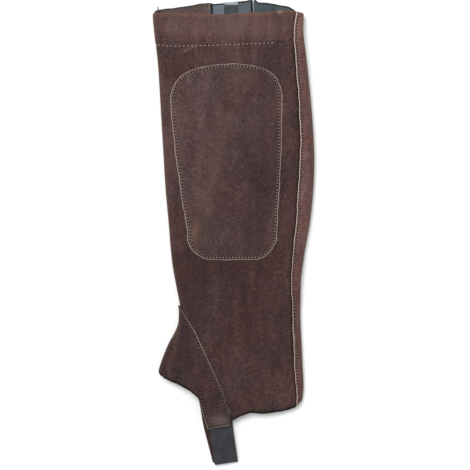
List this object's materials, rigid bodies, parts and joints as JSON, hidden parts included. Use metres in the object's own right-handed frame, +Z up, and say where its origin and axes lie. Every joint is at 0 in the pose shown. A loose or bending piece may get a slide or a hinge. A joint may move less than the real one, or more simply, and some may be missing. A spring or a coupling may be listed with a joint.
{
  "type": "riding gaiter",
  "caption": "Brown suede riding gaiter (half chap) laid flat: turned top hem, calf patch, back strip, instep piece with strap, zip and elastic on the outer side.",
  "frame": {"origin": "centre of the gaiter's bounding box, on the surface that it lies on", "axes": "+Y from the foot to the mouth, +X from the shin to the calf, +Z up from the surface, towards the inner side of the leg"},
  "size_m": [0.1772, 0.5098, 0.0247],
  "materials": {
    "suede": "dark brown suede, napped",
    "elastic": "black ribbed elastic",
    "tape": "grey-green woven zip tape",
    "zip_metal": "nickel plated",
    "label_cloth": "plain woven",
    "thread": "grey-beige sewing thread"
  },
  "bodies": {
    "gaiter": {"main_panel": "suede", "back_strip": "suede", "foot_panel": "suede", "calf_patch": "suede", "elastic_front": "elastic", "elastic_rear": "elastic", "strap_elastic": "elastic", "zip_tape_front": "tape", "zip_tape_rear": "tape", "zip_chain": "zip_metal", "zip_slider": "zip_metal", "label": "label_cloth"},
    "pull_tab": {"zip_pull": "zip_metal"}
  },
  "joints": [
    {"name": "pull_swing", "type": "hinge", "parent": "gaiter", "child": "pull_tab", "pos_m": [0.02237, 0.231, 0.00172], "axis": [1, 0, 0], "range_deg": [0, 170]}
  ]
}
